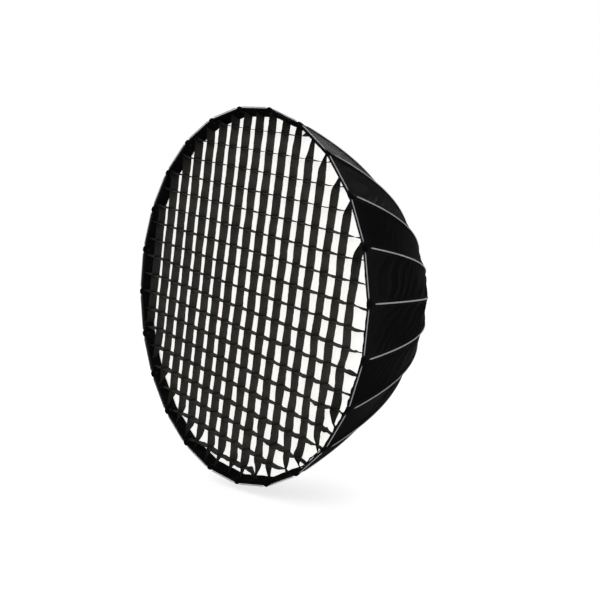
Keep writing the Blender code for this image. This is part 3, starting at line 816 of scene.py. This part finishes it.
def tip_pocket():
    """Reinforced pocket over the top rib's tip: a padded patch folded over the rim."""
    path = [outline(length) for length in np.linspace(RIB_LENGTH - POCKET_BACK, RIB_LENGTH, 9)]
    before = (RIM_RADIUS, RIM_Y)
    for r, y in HEM[:8]:
        dr, dy = r - before[0], y - before[1]
        size = math.hypot(dr, dy)
        path.append((r, y, -dy / size, dr / size))
        before = (r, y)
    path = np.array(path, float)
    facing = path[:, 2:].copy()
    facing[1:-1] = (path[:-2, 2:] + 2 * path[1:-1, 2:] + path[2:, 2:]) / 4
    facing /= np.linalg.norm(facing, axis=1)[:, None]
    shares = np.linspace(-1, 1, 15)
    rows, uv = [], []
    for i, (r, y) in enumerate(path[:, :2]):
        place = i / (len(path) - 1)
        width = POCKET_HALF * (0.78 + 0.22 * math.sin(math.pi * min(1.0, place * 1.15)))
        end = min(1.0, place * 9, (1 - place) * 9)
        row = []
        for c in shares:
            edge = min(1.0, (1 - abs(c)) * 5)
            dome = 0.0014 * math.cos(c * math.pi / 2) * math.sin(math.pi * place) ** 2
            rise = 0.0006 + (POCKET_PROUD + dome) * end * edge
            drop = abs(c) * width * HALF_SIN
            row.append((c * width, y + facing[i, 1] * rise, r + facing[i, 0] * rise - drop))
        rows.append(row)
        uv.append([(c * width, place * 0.06) for c in shares])
    return sheet(rows, uv, CLOTH, slot=1)


def make_trims(looks):
    """Piping along each rib, the pocket over its tip and the piping on its share of the rim."""
    for number in range(RIBS):
        lengths = np.linspace(0.004, RIB_LENGTH - PIPING_START, 90)
        centres, side, up = along_rib(lengths, SEAM_RIDGE + 0.0010)
        parts = [tube(centres, side, up, PIPING_WIDTH, PIPING_HEIGHT), tip_pocket()]
        parts = [turned(part, number) for part in parts]
        trim = piece(f"trim_{number + 1:02d}", parts, [looks["piping"], looks["webbing"]])
        follow_rib(trim, number)
        parts = [turned(rim_piping(sign), number) for sign in (-1, 1)]
        edge = piece(f"rim_piping_{number + 1:02d}", parts, [looks["piping"]])
        follow_rib(edge, number)
        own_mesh(edge)


# Diffuser


def gather_to_rib(obj):
    """Bakes the transform of a wedge of a front sheet into its mesh; the wedge is not tied to its
    rib or the hub.
    """
    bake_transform(obj)


def disc_surface(radius, y, rings, per_rib, height):
    """Points and normals of a straight-edged disc, with height(x, z, share) added to y."""
    columns = RIBS * per_rib
    angles = np.arange(columns) * STEP / per_rib
    beside = np.abs((angles / STEP + 0.5) % 1 - 0.5) * STEP
    edge = radius * HALF_COS / np.cos(STEP / 2 - beside)
    points = np.zeros((len(rings), columns, 3))
    for i, share in enumerate(rings):
        points[i, :, 0] = edge * share * np.sin(angles)
        points[i, :, 2] = edge * share * np.cos(angles)
        points[i, :, 1] = [y + height(p[0], p[2], share) for p in points[i]]
    return points, surface_normals(points, cyclic=True)


def disc_wedge(points, normals, centre_y, middle, half):
    """Points, normals, faces and UVs of the disc within half columns of the middle one."""
    columns = np.arange(middle - half, middle + half + 1) % points.shape[1]
    rows = points.shape[0]
    width = len(columns)
    cut = points[:, columns].reshape(-1, 3)
    facing = normals[:, columns].reshape(-1, 3)
    cut = np.concatenate([cut, [(0.0, centre_y, 0.0)]])
    facing = np.concatenate([facing, [(0.0, 1.0 if facing[0, 1] > 0 else -1.0, 0.0)]])
    faces = [tuple(face) for face in sheet_faces(rows, width)]
    faces += [(rows * width, j, j + 1) for j in range(width - 1)]
    return cut, facing, faces, cut[:, [0, 2]]


def make_diffuser(looks):
    low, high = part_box("front_diffuser")
    y = (low.y + high.y) / 2
    corner = high.z + DIFFUSER_HEM
    per_rib = 24

    def height(x, z, share):
        a = math.atan2(x, z)
        gathers = math.sin(a * 60 + 2 * ripple(x * 3, z * 3, 4.0))
        puckers = 0.0011 * gathers * max(0.0, share - 0.86) / 0.14
        drape = 0.0025 * ripple(x * 3.0, z * 3.0, 0.5) * (1 - share**6)
        return puckers + drape + 0.006 * (1 - share**2)

    rings = np.concatenate([np.linspace(0.02, 0.94, 30), np.linspace(0.955, 1.0, 5)])
    points, normals = disc_surface(corner, y, rings, per_rib, height)
    centre_y = y + height(0.0, 0.0, 0.0)
    for number in range(RIBS):
        wedge = disc_wedge(points, normals, centre_y, number * per_rib, per_rib // 2)
        part = cloth(*wedge, DIFFUSER_CLOTH, 0.5)
        obj = piece(f"diffuser_{number + 1:02d}", [part], [looks["diffuser"]])
        gather_to_rib(obj)
        if number == 0:
            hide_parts("front_diffuser")


# Egg-crate grid

GRID_LOW, GRID_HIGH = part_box("grid")
GRID_CORNER = GRID_HIGH.z


def grid_place(u, v):
    """x and z of a place u across the grid's columns and v along them."""
    c, s = math.cos(GRID_TURN), math.sin(GRID_TURN)
    return u * c + v * s, v * c - u * s


def row_place(v, u):
    return grid_place(u, v)


def border_distance(x, z):
    """Distance from the axis to the grid's straight-sided border in this direction."""
    a = math.atan2(x, z) % STEP
    return GRID_CORNER * HALF_COS / math.cos(a - STEP / 2)


def border_end(place, offset, start, sign):
    """How far along a strip its end lies, walking from start."""
    along = start
    for _ in range(40):
        x, z = place(offset, along)
        along += sign * (border_distance(x, z) - math.hypot(x, z))
    return along


def strip_stations(place, offset, phase, cell):
    """(distance along, crossing number or None) from one border to the other."""
    reach = range(-(STRIP_COUNT + 1) * CELL_STEPS, (STRIP_COUNT + 1) * CELL_STEPS + 1)
    inside = []
    for step in reach:
        along = phase + step * cell / CELL_STEPS
        x, z = place(offset, along)
        if math.hypot(x, z) < border_distance(x, z) - END_GAP:
            inside.append((along, step // CELL_STEPS if step % CELL_STEPS == 0 else None))
    if len(inside) < 3:
        return []
    first = border_end(place, offset, inside[0][0], -1)
    last = border_end(place, offset, inside[-1][0], 1)
    return [(first, None), *inside, (last, None)]


def lower_right(x, z):
    """0 to 1 towards the grid's lower right, as the camera sees it, where its cloth is slackest."""
    return clamp((x - z - 0.25) / 0.75)


def lower_left(x, z):
    """0 to 1 towards the grid's lower left, where its strips narrow towards the front."""
    return clamp((-x - z - 0.45) / 0.35) * clamp((-0.12 - z) / 0.25)


def strip_edges(x, z, to_end, number, columns):
    """Front and back y of a strip: full depth at the top, necked down near its ends elsewhere."""
    uneven = ripple(number * 2.7, 5.0 if columns else 9.0, z)
    near = max(0.0, 1 - to_end / (NECK_LENGTH + 0.03 * uneven))
    slack = 1 - clamp((z - 0.9 * x + 0.05) / 0.5)
    forward = lower_left(x, z)
    front = GRID_LOW.y + (COLUMN_NECK if columns else ROW_NECK) * slack * near * (1 - forward)
    back = GRID_HIGH.y - (BACK_NECK * slack + LEFT_NECK * forward) * near**1.5
    return front, back


def unevenness(x, z, depth, gap):
    """Sideways and upward shift of a point of the grid from its place in a perfect lattice."""
    edge = max(0.0, 1 - gap / 0.13)
    slack = lower_right(x, z)
    shift = 0.0042 + 0.0050 * slack + edge * (0.004 + 0.016 * slack)
    twist = (0.0050 + 0.010 * slack) * (depth - 0.5)
    across = shift * ripple(x * 10, z * 10, 31.0) + twist * ripple(x * 13, z * 13, 37.0)
    up = 0.6 * shift * ripple(x * 10, z * 10, 43.0) + twist * ripple(x * 13, z * 13, 47.0)
    if gap > AT_BORDER:
        return across, up
    r = math.hypot(x, z)
    along_border = (across * z - up * x) / r
    return along_border * z / r, -along_border * x / r


def band_reach(depth_y):
    """How much the border band has opened at this depth."""
    back_share = (depth_y - GRID_LOW.y) / (GRID_HIGH.y - GRID_LOW.y)
    return BAND_OPENING * (1 - clamp(back_share))


class GridMesh:
    """Strips of the grid as one welded mesh, so that strips hold each other where they cross."""

    def __init__(self):
        self.points, self.shared, self.pinned, self.strips = [], {}, [], []

    def station(self, x, z, front, back, arch, key):
        if key is not None and key in self.shared:
            return self.shared[key]
        first = len(self.points)
        gap = border_distance(x, z) - math.hypot(x, z)
        for i in range(DEPTH_STEPS + 1):
            depth = i / DEPTH_STEPS
            y = front + (back - front) * depth
            across, up = unevenness(x, z, depth, gap)
            reach = 1 + band_reach(y) / GRID_CORNER if gap < AT_BORDER else 1.0
            self.points.append((x * reach + across, y, z * reach + up + arch))
        ids = list(range(first, first + DEPTH_STEPS + 1))
        if key is not None:
            self.shared[key] = ids
        return ids

    def strip(self, place, offset, number, phase, cell, columns):
        stations = strip_stations(place, offset, phase, cell)
        if not stations or stations[-1][0] - stations[0][0] < SHORTEST_STRIP:
            return
        lines = []
        for along, crossing in stations:
            x, z = place(offset, along)
            to_end = min(along - stations[0][0], stations[-1][0] - along)
            front, back = strip_edges(x, z, to_end, number, columns)
            arch, key = 0.0, None
            if not columns and to_end > 0:
                bow = math.sin(math.pi * (along - phase) / cell) ** 2
                arch = bow * 0.0085 * lower_right(x, z) * min(1.0, to_end / 0.05)
            if crossing is not None:
                key = (number, crossing) if columns else (crossing, number)
            lines.append(self.station(x, z, front, back, arch, key))
        self.pinned += lines[0] + lines[-1]
        first_u = 0.0 if columns else ROW_U
        self.strips.append((lines, first_u, [(along - phase) / cell for along, _ in stations]))


def grid_mesh():
    grid = GridMesh()
    for number in range(-STRIP_COUNT, STRIP_COUNT + 1):
        offset = COLUMN_START + number * COLUMN_PITCH
        grid.strip(grid_place, offset, number, ROW_START, ROW_PITCH, True)
    for number in range(-STRIP_COUNT, STRIP_COUNT + 1):
        offset = ROW_START + number * ROW_PITCH
        grid.strip(row_place, offset, number, COLUMN_START, COLUMN_PITCH, False)
    return grid


def hang(grid):
    """Cloth simulation of the grid, cut a little large and held at its border."""
    mesh = bpy.data.meshes.new("grid_hanging")
    faces = []
    for lines, _, _ in grid.strips:
        for a, b in zip(lines, lines[1:]):
            faces += [(a[i], a[i + 1], b[i + 1], b[i]) for i in range(DEPTH_STEPS)]
    mesh.from_pydata(grid.points, [], faces)
    obj = add_object("grid_hanging", mesh)
    pins = obj.vertex_groups.new(name="pins")
    crossings = [i for ids in grid.shared.values() for i in ids]
    pins.add(crossings, CROSSING_HOLD, "REPLACE")
    pins.add(grid.pinned, 1.0, "REPLACE")
    slack = obj.vertex_groups.new(name="slack")
    for i, (x, _, z) in enumerate(grid.points):
        slack.add([i], lower_right(x, z) ** 1.4, "REPLACE")
    modifier = obj.modifiers.new("hang", "CLOTH")
    for setting, value in HANGING.items():
        setattr(modifier.settings, setting, value)
    modifier.settings.effector_weights.gravity = GRID_GRAVITY
    modifier.collision_settings.use_collision = False
    scene = bpy.context.scene
    for frame_number in range(1, GRID_FRAMES + 1):
        scene.frame_set(frame_number)
    evaluated = obj.evaluated_get(bpy.context.evaluated_depsgraph_get())
    hung = np.zeros(len(mesh.vertices) * 3)
    evaluated.data.vertices.foreach_get("co", hung)
    bpy.data.objects.remove(obj, do_unlink=True)
    scene.frame_set(1)
    start = np.array(grid.points)
    moved = hung.reshape(-1, 3) - start
    far = np.linalg.norm(moved, axis=1)
    return start + moved * (np.minimum(far, MOST_SAG) / np.maximum(far, 1e-9))[:, None]


def border_sheet():
    """Band of cloth round the grid, its front edge drawn in unevenly by the strips."""
    per_side = 20
    rows, uv = [], []
    for i in range(RIBS * per_side + 1):
        a = (i % (RIBS * per_side)) * STEP / per_side
        x, z = math.sin(a), math.cos(a)
        r = border_distance(x, z)
        drawn = 0.35 + ripple(x * 13, z * 13, 12.0) + 0.8 * ripple(x * 31, z * 31, 15.0)
        pull = max(0.0, drawn) * (0.0015 + 0.0085 * lower_right(x * r, z * r))
        wave = 0.0025 * ripple(x * 16, z * 16, 18.0)
        front = r + BAND_OPENING
        section = [
            (front + 0.001, GRID_LOW.y - 0.0005),
            (front - 0.5 * pull, GRID_LOW.y - 0.0005),
            (front - pull, GRID_LOW.y + 0.0020),
            (front - pull, GRID_LOW.y + 0.0060),
            (r + 0.7 * BAND_OPENING - 0.3 * pull, GRID_LOW.y + 0.0150),
            (r + 0.3 * BAND_OPENING + wave, GRID_HIGH.y - 0.0150),
            (r + wave, GRID_HIGH.y - 0.0030),
        ]
        rows.append([(x * reach, y, z * reach) for reach, y in section])
        along = a * RIM_RADIUS / COLUMN_PITCH
        uv.append([(share * 0.05, along) for share in np.linspace(0, 1, len(section))])
    points = np.array(rows)
    return points, surface_normals(points), np.array(uv)


def make_grid(looks):
    """The grid, shared out between the ribs, one object for each."""
    grid = grid_mesh()
    placed = hang(grid)
    sheets = [(*border_sheet(), 1)]
    for lines, first_u, distances in grid.strips:
        points = placed[np.array(lines)]
        depths = first_u + np.linspace(0, 0.04, DEPTH_STEPS + 1)
        uv = np.stack(np.broadcast_arrays(depths[None, :], np.array(distances)[:, None]), axis=-1)
        sheets.append((points, surface_normals(points), uv, 0))
    shares = {number: [] for number in range(RIBS)}
    for points, normals, uv, slot in sheets:
        faces = sheet_faces(*points.shape[:2])
        points, normals, uv = (a.reshape(-1, a.shape[-1]) for a in (points, normals, uv))
        centres = points[faces].mean(axis=1)
        nearest = np.round(np.arctan2(centres[:, 0], centres[:, 2]) / STEP).astype(int) % RIBS
        for number in np.unique(nearest):
            mine = faces[nearest == number]
            used, index = np.unique(mine, return_inverse=True)
            cut = points[used], normals[used], index.reshape(mine.shape), uv[used]
            shares[int(number)].append(cloth(*cut, STRIP_CLOTH, 0.5, slot))
    for number in range(RIBS):
        obj = piece(f"grid_{number + 1:02d}", shares[number], [looks["grid"], looks["webbing"]])
        gather_to_rib(obj)
        if number == 0:
            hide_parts("grid")


# Inner baffle


def make_baffle(looks):
    """White inner baffle held by elastic straps, one share of it to each strapped rib."""
    low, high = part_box("inner_baffle")
    y = (low.y + high.y) / 2
    corner = high.z
    every = RIBS // BAFFLE_STRAPS
    per_rib = 6
    columns = RIBS * per_rib
    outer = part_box("baffle_strap_1")[1].z + 0.004
    rings = np.linspace(0.03, 1, 20)
    points = np.zeros((len(rings), columns, 3))
    for i, share in enumerate(rings):
        for j in range(columns):
            a = j * STEP / per_rib
            between = 0.5 - 0.5 * math.cos(a * BAFFLE_STRAPS)
            r = corner * share * (1 - 0.10 * between * share)
            x, z = r * math.sin(a), r * math.cos(a)
            belly = 0.010 * (1 - share**2) + 0.002 * ripple(x * 9, z * 9, 1.0)
            points[i, j] = (x, y + belly * share, z)
    normals = surface_normals(points, cyclic=True)
    half = every * per_rib // 2
    for number in range(BAFFLE_STRAPS):
        rib = number * every
        wedge = disc_wedge(points, normals, y, rib * per_rib, half)
        part = cloth(*wedge, DIFFUSER_CLOTH, 0.5)
        obj = piece(f"baffle_{number + 1}", [part], [looks["inner_diffuser"]])
        part = turned(strap_part(y, corner - 0.012, outer), rib)
        strap = piece(f"baffle_elastic_{number + 1}", [part], [looks["elastic"]])
        for part in (obj, strap):
            gather_to_rib(part)
        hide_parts(f"baffle_strap_{number + 1}")
        if number == 0:
            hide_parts("inner_baffle")


def strap_part(y, inner, outer):
    """Elastic strap at the top rib, narrower where it is stretched."""
    rows, uv = [], []
    for share in np.linspace(0, 1, 24):
        r = inner + (outer - inner) * share
        width = 0.010 * (1 - 0.25 * math.sin(math.pi * share))
        sag = -0.002 * math.sin(math.pi * share)
        rows.append([(c * width, y + sag, r) for c in np.linspace(-1, 1, 7)])
        uv.append([(c * width, r) for c in np.linspace(-1, 1, 7)])
    return sheet(rows, uv, STRAP_CLOTH, 0.5)


# Hub


def make_cuff(looks):
    """Gathered collar round the hub, its front edge turned out under the shell."""
    low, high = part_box("rear_cuff")
    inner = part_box("hub_ring")[1].z + CUFF_CLEARANCE
    columns = 384
    rows, uv = [], []
    for rise, share in CUFF_PROFILE:
        row, row_uv = [], []
        for i in range(columns):
            a = i * math.tau / columns
            turns = CUFF_GATHERS * a + 1.5 * math.sin(a * 5)
            gather = CUFF_GATHER_HEIGHT * math.sin(turns) * share * (1 - share) * 4
            r = inner + rise + gather
            row.append((r * math.sin(a), high.y + (low.y - high.y) * share, r * math.cos(a)))
            row_uv.append((r * a, share * (high.y - low.y)))
        rows.append(row)
        uv.append(row_uv)
    part = sheet(rows, uv, CLOTH, cyclic=True)
    cuff = piece("rear_cuff_cloth", [part], [looks["webbing"]])
    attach(cuff, "hub")
    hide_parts("rear_cuff")


def finish_hub(looks):
    """Materials and softened edges for the CAD parts that stay."""
    finishes = dict(FINISHES)
    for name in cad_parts:
        if name.startswith("rib_"):
            finishes[name] = ("rod", 0.0)
        elif "_screw_" in name:
            finishes[name] = ("steel", 0.0003)
    for name, (look, bevel) in finishes.items():
        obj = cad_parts[name]
        obj.data.materials.clear()
        obj.data.materials.append(looks[look])
        if bevel:
            weld = obj.modifiers.new("weld", "WELD")
            weld.merge_threshold = 0.00002
            soft = obj.modifiers.new("soft_edges", "BEVEL")
            soft.width = bevel
            soft.segments = 2
            soft.limit_method = "ANGLE"
            soft.angle_limit = SOFT_ANGLE


# Stage


def make_stage():
    """Near-white floor and surroundings, which light the object less than the camera sees them."""
    low, _ = cad_box
    bpy.ops.mesh.primitive_plane_add(size=60, location=(0, 0, low.z - 0.03))
    floor = bpy.context.object
    floor.name = "floor"
    n = Nodes("pale_floor")
    speck = n.noise(2.0, 3.0)
    n.set(
        Base_Color=n.ramp(speck, [(0.3, (0.80, 0.80, 0.80)), (0.7, (0.83, 0.83, 0.83))]),
        Roughness=0.8,
        Specular_IOR_Level=0.1,
        Emission_Color=(1.0, 1.0, 1.0, 1.0),
        Emission_Strength=n.times(n.seen_by_camera(), FLOOR_GLOW),
    )
    floor.data.materials.append(n.owner)
    n = Nodes("studio", bpy.data.worlds, "Background")
    n.set(Color=(1.0, 1.0, 1.0, 1.0), Strength=n.scale_range(n.seen_by_camera(), AMBIENT, 1.0))
    bpy.context.scene.world = n.owner
    for light in LIGHTS:
        add_light(*light)
    bpy.context.scene.view_settings.view_transform = "Standard"


def add_light(name, place, power, size):
    data = bpy.data.lights.new(name, "AREA")
    data.energy = power
    data.size = size
    light = add_object(name, data)
    light.location = place
    light.rotation_euler = (-Vector(place)).to_track_quat("-Z", "Y").to_euler()


def make_camera():
    data = bpy.data.cameras.new("camera")
    data.lens = CAMERA_LENS
    camera = add_object("camera", data)
    back = -Vector(CAMERA_AIM).normalized()
    right = Vector(CAMERA_UP).cross(back).normalized()
    up = back.cross(right)
    axes = Matrix((right, up, back)).transposed().to_4x4()
    camera.matrix_world = Matrix.Translation(CAMERA_PLACE) @ axes
    bpy.context.scene.camera = camera


def build():
    looks = {
        "shell": shell_material(),
        "lining": lining_material(),
        "piping": piping_material(),
        "webbing": webbing_material(
            "black_webbing", (0.004, 0.004, 0.0045), (0.009, 0.009, 0.010)
        ),
        "elastic": webbing_material(
            "black_elastic", (0.02, 0.02, 0.02), (0.04, 0.04, 0.04), ELASTIC_THREAD
        ),
        "diffuser": diffuser_material("white_diffuser", DIFFUSER_GLOW),
        "inner_diffuser": diffuser_material("white_baffle", BAFFLE_GLOW),
        "grid": grid_material(),
        **{look: metal_material(*values) for look, values in HARD_LOOKS.items()},
    }
    make_gores(looks)
    make_trims(looks)
    make_diffuser(looks)
    make_grid(looks)
    make_baffle(looks)
    make_cuff(looks)
    finish_hub(looks)
    make_stage()
    make_camera()


build()
